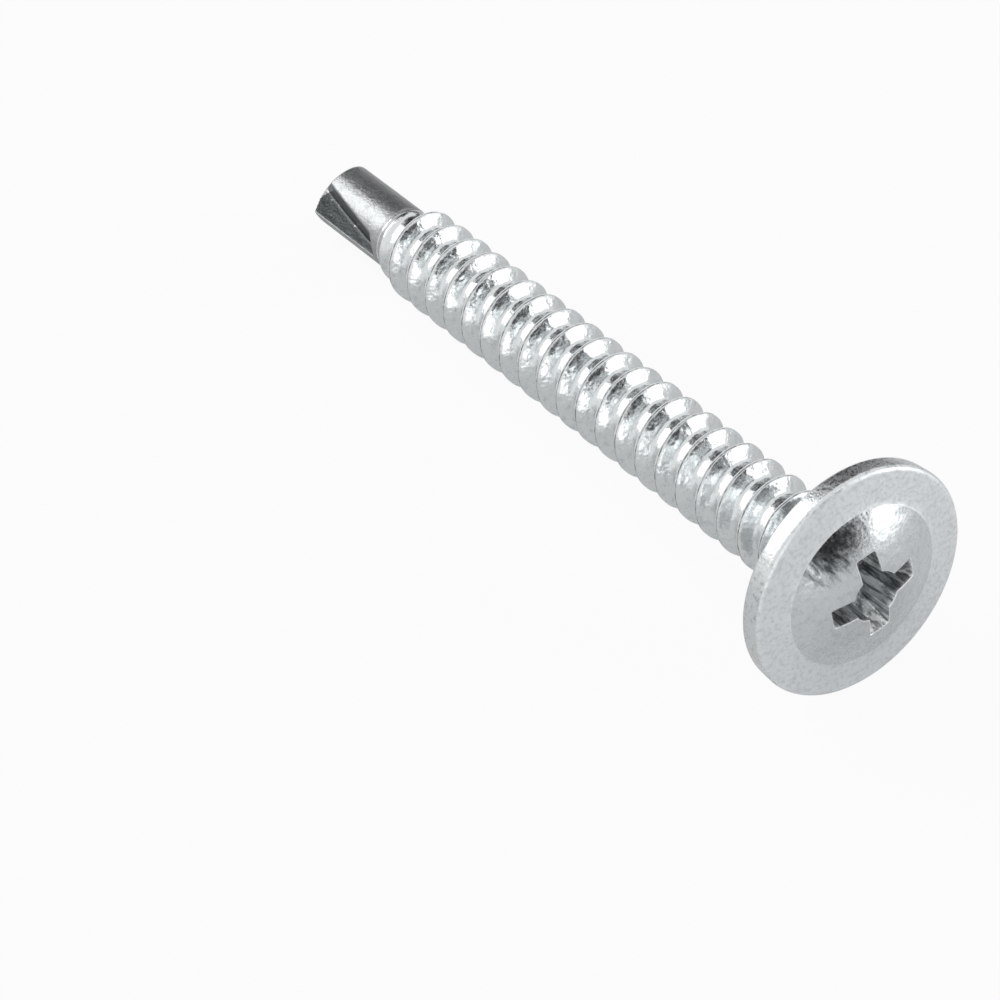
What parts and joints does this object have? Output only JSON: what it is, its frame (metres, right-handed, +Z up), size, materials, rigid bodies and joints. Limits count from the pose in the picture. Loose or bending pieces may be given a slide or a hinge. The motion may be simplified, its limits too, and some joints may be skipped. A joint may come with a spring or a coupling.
{
  "type": "self drilling screw",
  "caption": "Self-drilling screw with a wafer head, cross recess, coarse tapping thread and a two-flute drill point.",
  "frame": {"origin": "on the floor, below the middle of the screw's length and width as it lies", "axes": "+Z up; the screw lies along X with its head at +X and its point at -X, its axis in the XZ plane and sloping down to the point"},
  "size_m": [0.0392, 0.0107, 0.0107],
  "materials": {
    "zinc_plated_steel": "bright zinc plate over hardened steel, smooth on the crown, frosted on the flange"
  },
  "bodies": {
    "root": {"screw": "zinc_plated_steel"}
  },
  "joints": []
}
